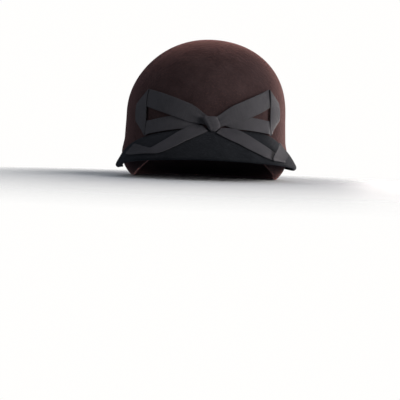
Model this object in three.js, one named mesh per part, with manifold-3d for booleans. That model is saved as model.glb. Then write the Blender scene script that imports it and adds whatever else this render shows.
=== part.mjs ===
// A felt jockey cap: a domed crown, a peak sewn to its front and a flat ribbon bow over the seam.
// Millimetres, +Z up. The front faces -Y and +X is on the right of someone facing the front. The cap stands
// on the crown's rim at Z = 0, and the origin lies under the middle of the whole cap.

import * as THREE from 'three';
import { mergeVertices } from 'three/addons/utils/BufferGeometryUtils.js';
import Module from 'manifold-3d';

const wasm = await Module();
wasm.setup();

const { degToRad, lerp, smoothstep } = THREE.MathUtils;

// Felt, ribbon and the clearance between sewn pieces
const FELT = 2.5;
const RIBBON = 1.0;
const RIBBON_WIDTH = 14;
const GAP = 0.3;

// Crown: an oval wall that is widest above the rim, under a dome that is a quarter ellipse all round, made a
// little fuller by its power, and that leans a little to the right
const HALF_WIDTH = 82.5;
const HALF_LENGTH = 99;
const CROWN_HEIGHT = 135;
const WIDEST_LEVEL = 28;
const DOME_LEVEL = 60;
const RIM_TUCK = 10;
const DOME_TAPER = 1.2;
const DOME_POWER = 2.11;
const DOME_LEAN = 3;
const FULL_LEAN_LEVEL = 130;

// The rim lies flat at the sides and back, and rises in an arch over the forehead
const RIM_ARCH_HEIGHT = 34;
const RIM_ARCH_HALF_ANGLE = degToRad(72);

// Peak: each row is a section at an angle round from the front, with how far it reaches out from the crown,
// the level of its seam on the crown and the level of its outer edge
const PEAK_SECTIONS = [
  { angle: 0, reach: 36, seam: 42.5, edge: 17 },
  { angle: 20, reach: 33.5, seam: 40.2, edge: 15.8 },
  { angle: 40, reach: 22.5, seam: 35.8, edge: 13.6 },
  { angle: 54, reach: 14.2, seam: 30.4, edge: 12.6 },
  { angle: 68, reach: 10.2, seam: 21.4, edge: 11.8 },
  { angle: 80, reach: 9.2, seam: 18, edge: 11.4 },
];
const PEAK_HALF_ANGLE = 80;
const PEAK_CORNER_ANGLE = 66;
const PEAK_CORNER_SHARE = 0.14;

// The felt falls from seam to edge in a curve, which is stronger at the sides from one angle round to another
const PEAK_CURL = 0.25;
const PEAK_SIDE_CURL = 0.6;
const SIDE_CURL_FROM = 35;
const SIDE_CURL_TO = 60;

// The felt hangs a little lower on the left, from one angle round to another
const LEFT_DROOP = 1.4;
const DROOP_FROM = -25;
const DROOP_TO = -55;

// The middle of the crown lies behind the origin by half of how far the peak stands out in front
const CROWN_Y = (GAP + PEAK_SECTIONS[0].reach) / 2;

// Bow loops: each row is a loop's middle line, in millimetres round the crown from the front and in levels.
// It runs from the knot along the top strap to the folded end panel, and back along the strap under it. The
// last columns are how far the top strap arches up, and how wide the two straps still are at the knot.
const BOW_LOOPS = [
  {
    side: 'left', knot: -0.5, top: 47.2, under: 49.4, end: -67, topEnd: 70, underEnd: 42.6,
    arch: 1.6, topWidth: 7, underWidth: 3.6,
  },
  {
    side: 'right', knot: 6, top: 46.7, under: 48.6, end: 66.5, topEnd: 74.7, underEnd: 47.2,
    arch: 0.6, topWidth: 8.6, underWidth: 4.8,
  },
];
const LOOP_LIFT = 0.4;
const LOOP_BULGE = 2.4;
const PANEL_LIFT = 1.2;
const GATHER_LENGTH = 18;

// Near the knot a top strap lies over the one under it. That one tips out from the felt along its lower edge,
// and so covers less of the crown than its width.
const OVER_LIFT = 0.8;
const OVER_LENGTH = 45;
const UNDER_TILT = 3;
const UNDER_COVER = 11.6;

// Knot: each row is a level section of the ribbon wrapped over the middle, between two places round the crown
// and between its back and its front, which stand off the crown's wall
const KNOT_SECTIONS = [
  { level: 51.2, left: -5.4, right: 5.6, back: 2.9, front: 4.8 },
  { level: 49.6, left: -5.6, right: 6.4, back: 2.8, front: 6.8 },
  { level: 46.6, left: -3.8, right: 7.8, back: 2.9, front: 7.8 },
  { level: 42.8, left: -1.4, right: 8.6, back: 3.4, front: 8.6 },
  { level: 40.6, left: 0.0, right: 6.4, back: 5.4, front: 9.0 },
  { level: 39.0, left: 1.8, right: 4.4, back: 7.6, front: 9.0 },
];
const KNOT_ROUNDING = 6;
const KNOT_SIDE_SHARE = 0.3;

// Tails: each row is a section across the ribbon, between a place on its lower edge and one on its upper
// edge. A place is given in millimetres round the crown, in the share of the way from the seam to the peak's
// edge and in its height off the peak.
const TAIL_LEFT = [
  { round: -1.2, share: 0.2, lift: 0.5, upRound: -5.4, upShare: 0.02, upLift: 1.8 },
  { round: -6.8, share: 0.35, lift: 0.5, upRound: -13.2, upShare: 0.07, upLift: 2.4 },
  { round: -11.2, share: 0.46, lift: 0.5, upRound: -18, upShare: 0.19, upLift: 2.8 },
  { round: -15.8, share: 0.58, lift: 0.5, upRound: -22.6, upShare: 0.31, upLift: 2.2 },
  { round: -19.2, share: 0.69, lift: 0.5, upRound: -26.4, upShare: 0.44, upLift: 1.5 },
  { round: -24.8, share: 0.83, lift: 0.5, upRound: -31.2, upShare: 0.59, upLift: 1 },
  { round: -29.5, share: 0.89, lift: 0.5, upRound: -35.6, upShare: 0.72, upLift: 0.9 },
  { round: -36.5, share: 0.88, lift: 0.7, upRound: -41, upShare: 0.68, upLift: 1 },
  { round: -45.5, share: 0.87, lift: 0.8, upRound: -48.5, upShare: 0.6, upLift: 1.5 },
  { round: -56, share: 0.83, lift: 0.6, upRound: -54.6, upShare: 0.53, upLift: 1.7 },
  { round: -67, share: 0.74, lift: 0.5, upRound: -60, upShare: 0.45, upLift: 1.4 },
];
const TAIL_RIGHT = [
  { round: 5, share: 0.255, lift: 0.5, upRound: 9, upShare: 0.1, upLift: 0.9 },
  { round: 9.8, share: 0.39, lift: 0.5, upRound: 15.4, upShare: 0.14, upLift: 1.7 },
  { round: 13.5, share: 0.48, lift: 0.5, upRound: 20.4, upShare: 0.2, upLift: 3.2 },
  { round: 17, share: 0.555, lift: 0.5, upRound: 25.3, upShare: 0.345, upLift: 3.4 },
  { round: 22.2, share: 0.695, lift: 0.5, upRound: 30.4, upShare: 0.495, upLift: 2.8 },
  { round: 27.5, share: 0.815, lift: 0.6, upRound: 35.6, upShare: 0.6, upLift: 1.8 },
  { round: 32, share: 0.9, lift: 0.7, upRound: 42, upShare: 0.74, upLift: 1.2 },
  { round: 36.2, share: 0.94, lift: 0.8, upRound: 49.6, upShare: 0.93, upLift: 0.8 },
];

// The right tail's end is folded over and stands up off the peak, with its left side as the lower edge
const TAIL_RIGHT_FOLD = [
  { round: 36.6, share: 0.92, lift: 1.3, upRound: 49.4, upShare: 0.93, upLift: 1.3 },
  { round: 40.8, share: 0.79, lift: 4.2, upRound: 52.4, upShare: 0.885, upLift: 3.2 },
  { round: 45.2, share: 0.63, lift: 7, upRound: 55.4, upShare: 0.82, upLift: 5 },
];

// Steps of the faceted surfaces
const CROWN_COLUMNS = 64;
const WALL_ROWS = 9;
const RIM_CROWDING = 1.6;
const DOME_ROWS = 9;
const PEAK_COLUMNS = 52;
const PEAK_ROWS = 7;
const STRAP_COLUMNS = 18;
const PANEL_COLUMNS = 8;
const TAIL_COLUMNS = 24;
const FOLD_COLUMNS = 6;
const RIBBON_ROWS = 3;
const KNOT_COLUMNS = 10;
const KNOT_ROWS = 12;

// Small steps to either side of a place, for the normals there
const ANGLE_STEP = 0.01;
const LEVEL_STEP = 0.5;
const SHARE_STEP = 0.02;

// Colours and finishes
const FINISHES = {
  brownFelt: { color: 0x33231f, roughness: 0.95, metalness: 0 },
  blackFelt: { color: 0x17191b, roughness: 0.95, metalness: 0 },
  ribbon: { color: 0x3a3a3f, roughness: 0.7, metalness: 0 },
};

// Columns of a table of sections, as smooth functions of the table's key
function smoothColumns(rows, keyOf, names) {
  const keys = new Float32Array(rows.map(keyOf));
  const values = new Float32Array(rows.flatMap((row) => names.map((name) => row[name])));
  const spline = new THREE.CubicInterpolant(keys, values, names.length, new Float32Array(names.length));
  spline.settings = { endingStart: THREE.ZeroSlopeEnding, endingEnd: THREE.ZeroCurvatureEnding };
  return (key) => {
    const found = spline.evaluate(key);
    return Object.fromEntries(names.map((name, column) => [name, found[column]]));
  };
}

// A closed body from points and triangles, turned so that its faces point out
function bodyFrom(points, triangles) {
  const corner = (index) => points[triangles[index]];
  let volume = 0;
  for (let i = 0; i < triangles.length; i += 3) {
    volume += corner(i).dot(new THREE.Vector3().crossVectors(corner(i + 1), corner(i + 2)));
  }
  const geometry = new THREE.BufferGeometry();
  const coordinates = points.flatMap((point) => point.toArray());
  geometry.setAttribute('position', new THREE.Float32BufferAttribute(coordinates, 3));
  geometry.setIndex(volume < 0 ? triangles.reverse() : triangles);
  return geometry;
}

// A sheet with thickness: two grids over the same two parameters, closed round their edges
function slab(columns, rows, faceOut, faceIn) {
  const points = [];
  const triangles = [];
  const quad = (a, b, c, d) => triangles.push(a, b, c, a, c, d);
  for (const face of [faceOut, faceIn]) {
    for (let j = 0; j <= rows; j += 1) {
      for (let i = 0; i <= columns; i += 1) {
        points.push(face(i / columns, j / rows));
      }
    }
  }
  const perFace = (columns + 1) * (rows + 1);
  const at = (i, j) => j * (columns + 1) + i;
  for (let j = 0; j < rows; j += 1) {
    for (let i = 0; i < columns; i += 1) {
      quad(at(i, j), at(i + 1, j), at(i + 1, j + 1), at(i, j + 1));
      quad(perFace + at(i, j), perFace + at(i, j + 1), perFace + at(i + 1, j + 1), perFace + at(i + 1, j));
    }
  }
  const border = [];
  for (let i = 0; i < columns; i += 1) border.push(at(i, 0));
  for (let j = 0; j < rows; j += 1) border.push(at(columns, j));
  for (let i = columns; i > 0; i -= 1) border.push(at(i, rows));
  for (let j = rows; j > 0; j -= 1) border.push(at(0, j));
  border.forEach((here, k) => {
    const next = border[(k + 1) % border.length];
    quad(next, here, perFace + here, perFace + next);
  });
  return bodyFrom(points, triangles);
}

// Several overlapping bodies joined into one
function fuse(geometries) {
  const solids = geometries.map((geometry) => {
    const merged = mergeVertices(geometry);
    const vertProperties = new Float32Array(merged.attributes.position.array);
    const triVerts = new Uint32Array(merged.index.array);
    return new wasm.Manifold(new wasm.Mesh({ numProp: 3, vertProperties, triVerts }));
  });
  const joined = solids.reduce((whole, solid) => whole.add(solid)).getMesh();
  const geometry = new THREE.BufferGeometry();
  geometry.setAttribute('position', new THREE.Float32BufferAttribute(joined.vertProperties, 3));
  geometry.setIndex(new THREE.Uint32BufferAttribute(joined.triVerts, 1));
  return geometry;
}

// The normal of a surface of two parameters, from the points just beside it
function normalOf(surface, first, second, firstStep, secondStep) {
  const along = surface(first + firstStep, second).sub(surface(first - firstStep, second));
  const across = surface(first, second + secondStep).sub(surface(first, second - secondStep));
  return along.cross(across).normalize();
}

// How far the wall is drawn in from its widest oval, towards the rim and towards the dome
function wallInset(level) {
  const towardsRim = Math.max(0, 1 - level / WIDEST_LEVEL);
  return RIM_TUCK * towardsRim ** 3 + DOME_TAPER * smoothstep(level, WIDEST_LEVEL, DOME_LEVEL);
}

// The crown at an angle round from the front and a level, inset from its outside
function crownPoint(angle, level, inset = 0) {
  const rise = Math.max(0, (level - DOME_LEVEL) / (CROWN_HEIGHT - inset - DOME_LEVEL));
  const narrowing = Math.max(0, 1 - rise ** DOME_POWER) ** (1 / DOME_POWER);
  const drawnIn = inset + wallInset(level);
  const lean = DOME_LEAN * smoothstep(level, DOME_LEVEL, FULL_LEAN_LEVEL);
  const x = lean + (HALF_WIDTH - drawnIn) * narrowing * Math.sin(angle);
  const y = CROWN_Y - (HALF_LENGTH - drawnIn) * narrowing * Math.cos(angle);
  return new THREE.Vector3(x, y, level);
}

// The level of the rim at an angle round from the front
function rimLevel(angle) {
  const share = Math.min(1, Math.abs(angle) / RIM_ARCH_HALF_ANGLE);
  return RIM_ARCH_HEIGHT * (1 - smoothstep(share, 0, 1));
}

// One skin of the crown as rings from the rim up, with the top of the dome as its last point
function crownSkin(inset) {
  const points = [];
  for (let row = 0; row < WALL_ROWS + DOME_ROWS; row += 1) {
    for (let column = 0; column < CROWN_COLUMNS; column += 1) {
      const angle = (column / CROWN_COLUMNS) * 2 * Math.PI - Math.PI;
      const latitude = Math.max(0, (row - WALL_ROWS) / DOME_ROWS) * (Math.PI / 2);
      const wallLevel = lerp(rimLevel(angle), DOME_LEVEL, Math.min(1, row / WALL_ROWS) ** RIM_CROWDING);
      const domeRise = (CROWN_HEIGHT - inset - DOME_LEVEL) * Math.sin(latitude);
      points.push(crownPoint(angle, wallLevel + domeRise, inset));
    }
  }
  points.push(new THREE.Vector3(DOME_LEAN, CROWN_Y, CROWN_HEIGHT - inset));
  return points;
}

// The crown: an outer and an inner skin joined round the rim
function crownBody() {
  const outer = crownSkin(0);
  const inner = crownSkin(FELT);
  const triangles = [];
  const quad = (a, b, c, d) => triangles.push(a, b, c, a, c, d);
  const first = outer.length;
  const top = outer.length - 1;
  const lastRing = top - CROWN_COLUMNS;
  for (let column = 0; column < CROWN_COLUMNS; column += 1) {
    const next = (column + 1) % CROWN_COLUMNS;
    for (let ring = 0; ring < lastRing; ring += CROWN_COLUMNS) {
      const above = ring + CROWN_COLUMNS;
      quad(ring + column, ring + next, above + next, above + column);
      quad(first + ring + column, first + above + column, first + above + next, first + ring + next);
    }
    triangles.push(lastRing + column, lastRing + next, top);
    triangles.push(first + lastRing + next, first + lastRing + column, first + top);
    quad(next, column, first + column, first + next);
  }
  return bodyFrom([...outer, ...inner], triangles);
}

const peakSection = smoothColumns(PEAK_SECTIONS, (row) => row.angle, ['reach', 'seam', 'edge']);

// How much of a section is left where the peak's corners are rounded off
function cornerShare(degrees) {
  const along = Math.max(0, degrees - PEAK_CORNER_ANGLE) / (PEAK_HALF_ANGLE - PEAK_CORNER_ANGLE);
  return Math.max(PEAK_CORNER_SHARE, Math.sqrt(Math.max(0, 1 - along ** 2)));
}

// The peak at an angle round from the front and a share of the way from the seam to the edge, and through the
// felt from its upper side to its lower one. The felt is cut upright along the seam and square at the edge.
function peakPoint(angle, share, through = 0) {
  const side = THREE.MathUtils.radToDeg(angle);
  const degrees = Math.min(PEAK_HALF_ANGLE, Math.abs(side));
  const { reach, seam, edge } = peakSection(degrees);
  const drop = seam - edge + LEFT_DROOP * smoothstep(-side, -DROOP_FROM, -DROOP_TO);
  const way = share * cornerShare(degrees);
  const curl = lerp(PEAK_CURL, PEAK_SIDE_CURL, smoothstep(degrees, SIDE_CURL_FROM, SIDE_CURL_TO));
  const fall = (1 - curl) * way + curl * way ** 2;
  const seamSlope = ((1 - curl) * drop) / reach;
  const edgeSlope = ((1 + curl) * drop) / reach;
  const edgeRun = Math.hypot(1, edgeSlope);
  const outward = new THREE.Vector2(Math.sin(angle) / HALF_WIDTH, -Math.cos(angle) / HALF_LENGTH).normalize();
  const out = GAP + way * (reach - (through * FELT * edgeSlope) / edgeRun);
  const down = through * FELT * lerp(Math.hypot(1, seamSlope), 1 / edgeRun, way);
  return new THREE.Vector3(
    HALF_WIDTH * Math.sin(angle) + outward.x * out,
    CROWN_Y - HALF_LENGTH * Math.cos(angle) + outward.y * out,
    seam - drop * fall - down,
  );
}

// The peak: its upper and lower sides, from one corner round the front to the other
function peakBody() {
  const angleAtShare = (u) => degToRad(lerp(-PEAK_HALF_ANGLE, PEAK_HALF_ANGLE, u));
  return slab(
    PEAK_COLUMNS,
    PEAK_ROWS,
    (u, v) => peakPoint(angleAtShare(u), v, 0),
    (u, v) => peakPoint(angleAtShare(u), v, 1),
  );
}

// The angle that lies a given length round the crown from the front
const quarterOval = new THREE.EllipseCurve(0, 0, HALF_WIDTH, HALF_LENGTH, -Math.PI / 2, 0);
function angleAt(round) {
  const found = quarterOval.getPointAt(Math.abs(round) / quarterOval.getLength());
  return Math.sign(round) * Math.asin(found.x / HALF_WIDTH);
}

// A place on the crown, and one on the peak, lifted off the felt
function onCrown(round, level, lift) {
  const angle = angleAt(round);
  const out = normalOf(crownPoint, angle, level, ANGLE_STEP, LEVEL_STEP);
  return crownPoint(angle, level).addScaledVector(out, lift);
}

function onPeak(round, share, lift) {
  const angle = angleAt(round);
  const up = normalOf(peakPoint, angle, share, ANGLE_STEP, SHARE_STEP).negate();
  return peakPoint(angle, share).addScaledVector(up, lift);
}

// A run of ribbon over the crown between two places on its middle line, which may arch up between them. It
// has a width at its start and one further on, and its ends may slant along a fold, by so much along the
// ribbon for each millimetre across it. How high it stands is a function of the share and the length along it,
// and of the share across it to its lower edge.
function crownRibbon({ from, to, arch, startSlant, endSlant, startWidth, width, height, columns }) {
  const length = from.distanceTo(to);
  const along = to.clone().sub(from).normalize();
  const across = new THREE.Vector2(-along.y, along.x);
  const place = (u, v, raised) => {
    const off = (v - 0.5) * lerp(startWidth, width, smoothstep(length * u, 0, GATHER_LENGTH));
    const run = lerp(startSlant * off, length + endSlant * off, u);
    const spot = from.clone().addScaledVector(along, run).addScaledVector(across, off);
    spot.y += 4 * arch * u * (1 - u);
    const lower = 0.5 - (v - 0.5) * across.y;
    return onCrown(spot.x, spot.y, height(u, length * u, lower) + raised);
  };
  return slab(columns, RIBBON_ROWS, (u, v) => place(u, v, RIBBON), (u, v) => place(u, v, 0));
}

// The slant of a fold line: a flat ribbon folded over turns by an angle about a line through its middle
function foldSlant(before, after) {
  const turn = Math.atan2(before.cross(after), before.dot(after));
  return 1 / Math.tan(turn / 2);
}

// A loop: a top strap, an end panel folded over it and a strap folded back under that
function loopBody({ knot, top, under, end, topEnd, underEnd, arch, topWidth, underWidth }) {
  const corners = [
    new THREE.Vector2(knot, top),
    new THREE.Vector2(end, topEnd),
    new THREE.Vector2(end, underEnd),
    new THREE.Vector2(knot, under),
  ];
  const runs = [0, 1, 2].map((k) => corners[k + 1].clone().sub(corners[k]).normalize());
  const topFold = foldSlant(runs[0], runs[1]);
  const underFold = foldSlant(runs[1], runs[2]);
  const bulge = (u) => LOOP_LIFT + LOOP_BULGE * Math.sin(Math.PI * u) ** 2;
  return fuse([
    crownRibbon({
      from: corners[0],
      to: corners[1],
      arch,
      startSlant: 0,
      endSlant: topFold,
      startWidth: topWidth,
      width: RIBBON_WIDTH,
      height: (u, run) => bulge(u) + OVER_LIFT * (1 - smoothstep(run, 0, OVER_LENGTH)),
      columns: STRAP_COLUMNS,
    }),
    crownRibbon({
      from: corners[3],
      to: corners[2],
      arch: 0,
      startSlant: 0,
      endSlant: -underFold,
      startWidth: underWidth,
      width: UNDER_COVER,
      height: (u, run, lower) => bulge(u) + UNDER_TILT * lower * Math.sin(Math.PI * u) ** 2,
      columns: STRAP_COLUMNS,
    }),
    crownRibbon({
      from: corners[1],
      to: corners[2],
      arch: 0,
      startSlant: -topFold,
      endSlant: underFold,
      startWidth: RIBBON_WIDTH,
      width: RIBBON_WIDTH,
      height: () => PANEL_LIFT,
      columns: PANEL_COLUMNS,
    }),
  ]);
}

const knotColumns = ['level', 'left', 'right', 'back', 'front'];
const knotSection = smoothColumns(KNOT_SECTIONS, (row) => KNOT_SECTIONS.indexOf(row), knotColumns);

// The knot: a pillow of ribbon whose front rolls back at its two sides
function knotBody() {
  const place = (u, v, isFront) => {
    const { level, left, right, back, front } = knotSection(v * (KNOT_SECTIONS.length - 1));
    const roll = isFront ? 1 - Math.abs(2 * u - 1) ** KNOT_ROUNDING : 0;
    const standOff = lerp(back, front, isFront ? lerp(KNOT_SIDE_SHARE, 1, roll) : 0);
    return crownPoint(angleAt(lerp(left, right, u)), level).add(new THREE.Vector3(0, -standOff, 0));
  };
  return slab(KNOT_COLUMNS, KNOT_ROWS, (u, v) => place(u, v, true), (u, v) => place(u, v, false));
}

// A run of ribbon over the peak through the sections of a table
function peakRibbon(sections, columns) {
  const sectionAt = smoothColumns(sections, (row) => sections.indexOf(row), Object.keys(sections[0]));
  const strip = (key, across) => {
    const { round, share, lift, upRound, upShare, upLift } = sectionAt(key);
    return onPeak(round, share, lift).lerp(onPeak(upRound, upShare, upLift), across);
  };
  const place = (u, v, raised) => {
    const key = u * (sections.length - 1);
    const { round, share } = sectionAt(key);
    const up = onPeak(round, share, 1).sub(onPeak(round, share, 0));
    const face = normalOf(strip, key, v, SHARE_STEP, SHARE_STEP);
    return strip(key, v).addScaledVector(face, raised * Math.sign(face.dot(up)));
  };
  return slab(columns, RIBBON_ROWS, (u, v) => place(u, v, RIBBON), (u, v) => place(u, v, 0));
}

function tailRightBody() {
  return fuse([peakRibbon(TAIL_RIGHT, TAIL_COLUMNS), peakRibbon(TAIL_RIGHT_FOLD, FOLD_COLUMNS)]);
}

// The cap
const cap = new THREE.Group();

function addPiece(name, geometry, finish) {
  const piece = new THREE.Mesh(geometry, new THREE.MeshStandardMaterial(FINISHES[finish]));
  piece.name = name;
  cap.add(piece);
}

addPiece('crown', crownBody(), 'brownFelt');
addPiece('peak', peakBody(), 'blackFelt');
for (const loop of BOW_LOOPS) addPiece(`bow_loop_${loop.side}`, loopBody(loop), 'ribbon');
addPiece('bow_knot', knotBody(), 'ribbon');
addPiece('bow_tail_left', peakRibbon(TAIL_LEFT, TAIL_COLUMNS), 'ribbon');
addPiece('bow_tail_right', tailRightBody(), 'ribbon');

export default cap;
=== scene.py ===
# %% [markdown]
# # A felt jockey cap
# The cap is a moulded felt crown, a felt peak sewn to its front, and a bow of flat ribbon over the seam.
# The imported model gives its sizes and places. Each step below replaces a plain solid by a finer surface
# of the same form, with the felt's soft edges, the ribbon's ribs and folds, and the finishes that make
# them felt and ribbon.

import math

import bmesh
import bpy
import numpy as np
from mathutils import Matrix, Vector


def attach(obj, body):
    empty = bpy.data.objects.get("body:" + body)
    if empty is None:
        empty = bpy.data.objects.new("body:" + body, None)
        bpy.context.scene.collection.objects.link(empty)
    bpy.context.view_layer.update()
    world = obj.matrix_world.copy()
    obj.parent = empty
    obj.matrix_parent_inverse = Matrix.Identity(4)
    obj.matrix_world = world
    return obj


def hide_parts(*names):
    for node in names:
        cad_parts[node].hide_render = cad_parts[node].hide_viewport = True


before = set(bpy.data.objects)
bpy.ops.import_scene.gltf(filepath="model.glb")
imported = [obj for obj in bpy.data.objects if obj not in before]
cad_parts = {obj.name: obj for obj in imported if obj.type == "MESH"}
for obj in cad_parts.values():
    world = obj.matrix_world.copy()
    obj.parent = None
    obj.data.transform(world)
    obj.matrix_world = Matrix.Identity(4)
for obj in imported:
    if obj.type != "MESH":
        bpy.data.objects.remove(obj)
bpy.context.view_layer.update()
BODY = "root"
MM = 0.001
print("nodes:", sorted(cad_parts))

# %% [markdown]
# ## The camera
# The camera stands just above the floor, close to the cap and a little to its left, tipped down and
# slightly rolled. A camera in Blender looks along its own -Z with +Y up, so the three axes worked out
# here become the columns of its matrix. Everything else is judged through this view, so it comes first.

# %% Place the camera
CROWN_MIDDLE_Y = 18.15
CAMERA_DISTANCE = 445
CAMERA_ROUND = math.radians(-1.8)
CAMERA_HEIGHT = 12
CAMERA_AIM = math.radians(-0.35)
CAMERA_PITCH = math.radians(4.76)
CAMERA_ROLL = math.radians(2.1)
CAMERA_LENS = 37.8
SENSOR_WIDTH = 36
NEAREST_SEEN = 0.01


def turned(first, second, angle):
    """Two axes turned towards each other by an angle: the first becomes first cos + second sin."""
    cos, sin = math.cos(angle), math.sin(angle)
    return first * cos + second * sin, second * cos - first * sin


def make_camera():
    """A camera on a circle round the crown, aimed, pitched down and rolled, in that order."""
    ahead = Vector((-math.sin(CAMERA_ROUND), math.cos(CAMERA_ROUND), 0))
    right = Vector((math.cos(CAMERA_ROUND), math.sin(CAMERA_ROUND), 0))
    up = Vector((0, 0, 1))
    place = Vector((0, CROWN_MIDDLE_Y, CAMERA_HEIGHT)) - ahead * CAMERA_DISTANCE
    ahead, right = turned(ahead, right, CAMERA_AIM)
    up, ahead = turned(up, ahead, CAMERA_PITCH)
    right, up = turned(right, up, CAMERA_ROLL)
    data = bpy.data.cameras.new("camera")
    data.lens = CAMERA_LENS
    data.sensor_width = SENSOR_WIDTH
    data.clip_start = NEAREST_SEEN
    camera = bpy.data.objects.new("camera", data)
    turn = Matrix((right, up, -ahead)).transposed()
    camera.matrix_world = Matrix.Translation(place * MM) @ turn.to_4x4()
    bpy.context.scene.collection.objects.link(camera)
    bpy.context.scene.camera = camera
    return camera


camera = make_camera()
print("camera at", [round(value, 4) for value in camera.matrix_world.translation])

# %% [markdown]
# ## Grids into meshes
# Every piece is a grid of places: rows and columns of points worked out as whole arrays. A grid may close
# on itself, as a hoop does. Where a whole row falls on one point, as at the top of the dome, the doubled
# points are merged, and the faces are turned outwards.

# %% A grid of places becomes a piece
MERGE_DISTANCE = 1e-7


def grid_faces(rows, columns, round_rows, round_columns):
    """Corners of the quads: a place, the next in its row, and the two below. A round direction closes on
    itself."""
    row, column = np.meshgrid(
        np.arange(rows if round_rows else rows - 1),
        np.arange(columns if round_columns else columns - 1),
        indexing="ij",
    )
    next_row = (row + 1) % rows
    next_column = (column + 1) % columns
    corners = [(row, column), (row, next_column), (next_row, next_column), (next_row, column)]
    return np.stack([r * columns + c for r, c in corners], axis=-1).reshape(-1, 4)


def mesh_piece(name, places, faces, uv=None):
    """A smooth piece from places in millimetres and faces, merged, turned outwards, with a map in
    metres."""
    mesh = bpy.data.meshes.new(name)
    mesh.from_pydata((places * MM).tolist(), [], faces.tolist())
    if uv is not None:
        layer = mesh.uv_layers.new(name="cloth")
        layer.data.foreach_set("uv", (uv[faces.ravel()] * MM).ravel())
    shape = bmesh.new()
    shape.from_mesh(mesh)
    bmesh.ops.remove_doubles(shape, verts=shape.verts, dist=MERGE_DISTANCE)
    bmesh.ops.recalc_face_normals(shape, faces=shape.faces)
    shape.to_mesh(mesh)
    shape.free()
    mesh.polygons.foreach_set("use_smooth", np.ones(len(mesh.polygons), bool))
    piece = bpy.data.objects.new(name, mesh)
    bpy.context.scene.collection.objects.link(piece)
    print(name, "has", sum(len(polygon.vertices) - 2 for polygon in mesh.polygons), "triangles")
    return piece


def grid_piece(name, grid, uv=None, round_rows=False, round_columns=False):
    """A piece from a grid of places, with a grid of map values to match."""
    rows, columns = grid.shape[:2]
    faces = grid_faces(rows, columns, round_rows, round_columns)
    flat_uv = None if uv is None else uv.reshape(-1, 2)
    return mesh_piece(name, grid.reshape(-1, 3), faces, flat_uv)


def smooth_rise(value, low, high):
    """From 0 at low to 1 at high, level at both ends: 3 s squared less 2 s cubed."""
    share = np.clip((value - low) / (high - low), 0, 1)
    return share**2 * (3 - 2 * share)


def run_along(line):
    """How far along a line of points each of them lies: the sum of the steps before it."""
    steps = np.linalg.norm(np.diff(line, axis=0), axis=1)
    return np.concatenate([[0], np.cumsum(steps)])


def squared_round(turn, power):
    """Cosine and sine whose sizes are raised to a power, so that a circle becomes a rounded square."""
    cos, sin = np.cos(turn), np.sin(turn)
    return np.sign(cos) * np.abs(cos) ** power, np.sign(sin) * np.abs(sin) ** power


# %% [markdown]
# ## Finishes
# Shader maths reads best as sums, so a small class wraps a socket and lets an expression such as `1 -
# mask` add its own Math nodes. Every other node comes from one method that sets the node up and then
# joins or fills its sockets.


# %% Sockets that can be added and multiplied
class Wire:
    """A socket of a material's node tree that takes part in sums."""

    def __init__(self, tree, socket):
        self.tree = tree
        self.socket = socket

    def node(self, kind, settings, inputs, output=0):
        """A new node of a kind: its settings first, then a value or a wire for each named socket."""
        made = self.tree.nodes.new(kind)
        for name, value in settings.items():
            if name == "stops":
                set_stops(made.color_ramp, value)
            else:
                setattr(made, name, value)
        for name, value in inputs.items():
            if isinstance(value, Wire):
                self.tree.links.new(value.socket, made.inputs[name])
            else:
                made.inputs[name].default_value = value
        return Wire(self.tree, made.outputs[output])

    def math(self, operation, first, second=0.0):
        """A Math node."""
        return self.node("ShaderNodeMath", {"operation": operation}, {0: first, 1: second})

    def __add__(self, other):
        return self.math("ADD", self, other)

    def __radd__(self, other):
        return self.math("ADD", other, self)

    def __sub__(self, other):
        return self.math("SUBTRACT", self, other)

    def __rsub__(self, other):
        return self.math("SUBTRACT", other, self)

    def __mul__(self, other):
        return self.math("MULTIPLY", self, other)

    def __rmul__(self, other):
        return self.math("MULTIPLY", other, self)

    def sine(self):
        """The sine of a value in radians."""
        return self.math("SINE", self)

    def noise(self, scale, detail=2.0, roughness=0.5):
        """Noise at this place, with so many lumps to the metre."""
        sockets = {"Vector": self, "Scale": scale, "Detail": detail, "Roughness": roughness}
        return self.node("ShaderNodeTexNoise", {}, sockets)

    def stretched(self, scale):
        """This place with its three axes scaled."""
        return self.node("ShaderNodeMapping", {}, {"Vector": self, "Scale": scale})

    def part(self, axis):
        """One of the three parts of this place: X, Y or Z."""
        return self.node("ShaderNodeSeparateXYZ", {}, {"Vector": self}, axis)

    def rise(self, low, high, top=1.0):
        """From 0 where this value is low to the top where it is high."""
        sockets = {"Value": self, "From Min": low, "From Max": high, "To Max": top}
        return self.node("ShaderNodeMapRange", {"clamp": True}, sockets)

    def ramp(self, stops):
        """A colour for each value, from a list of places and colours."""
        return self.node("ShaderNodeValToRGB", {"stops": stops}, {"Fac": self})

    def blend(self, mask, other):
        """This colour where the mask is 0 and the other where it is 1."""
        settings = {"data_type": "RGBA", "clamp_factor": True}
        return self.node("ShaderNodeMix", settings, {0: mask, 6: self, 7: other}, output=2)

    def bump(self, depth, normal=None):
        """A normal for a height of so many metres at full value."""
        sockets = {"Height": self, "Distance": depth}
        if normal is not None:
            sockets["Normal"] = normal
        return self.node("ShaderNodeBump", {}, sockets)


def set_stops(ramp, stops):
    """Sets a colour ramp's stops: pairs of place and colour."""
    while len(ramp.elements) < len(stops):
        ramp.elements.new(0.5)
    for element, (place, colour) in zip(ramp.elements, stops):
        element.position = place
        element.color = (*colour, 1)


def new_finish(name, constants):
    """A material with a Principled shader whose fixed sockets are set. Gives the material, its shader,
    and wires for the place and the map."""
    material = bpy.data.materials.new(name)
    material.use_nodes = True
    tree = material.node_tree
    shader = tree.nodes["Principled BSDF"]
    for socket, value in constants.items():
        shader.inputs[socket].default_value = value
    coordinates = tree.nodes.new("ShaderNodeTexCoord")
    place = Wire(tree, coordinates.outputs["Object"])
    chart = Wire(tree, coordinates.outputs["UV"])
    return material, shader, place, chart


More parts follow.
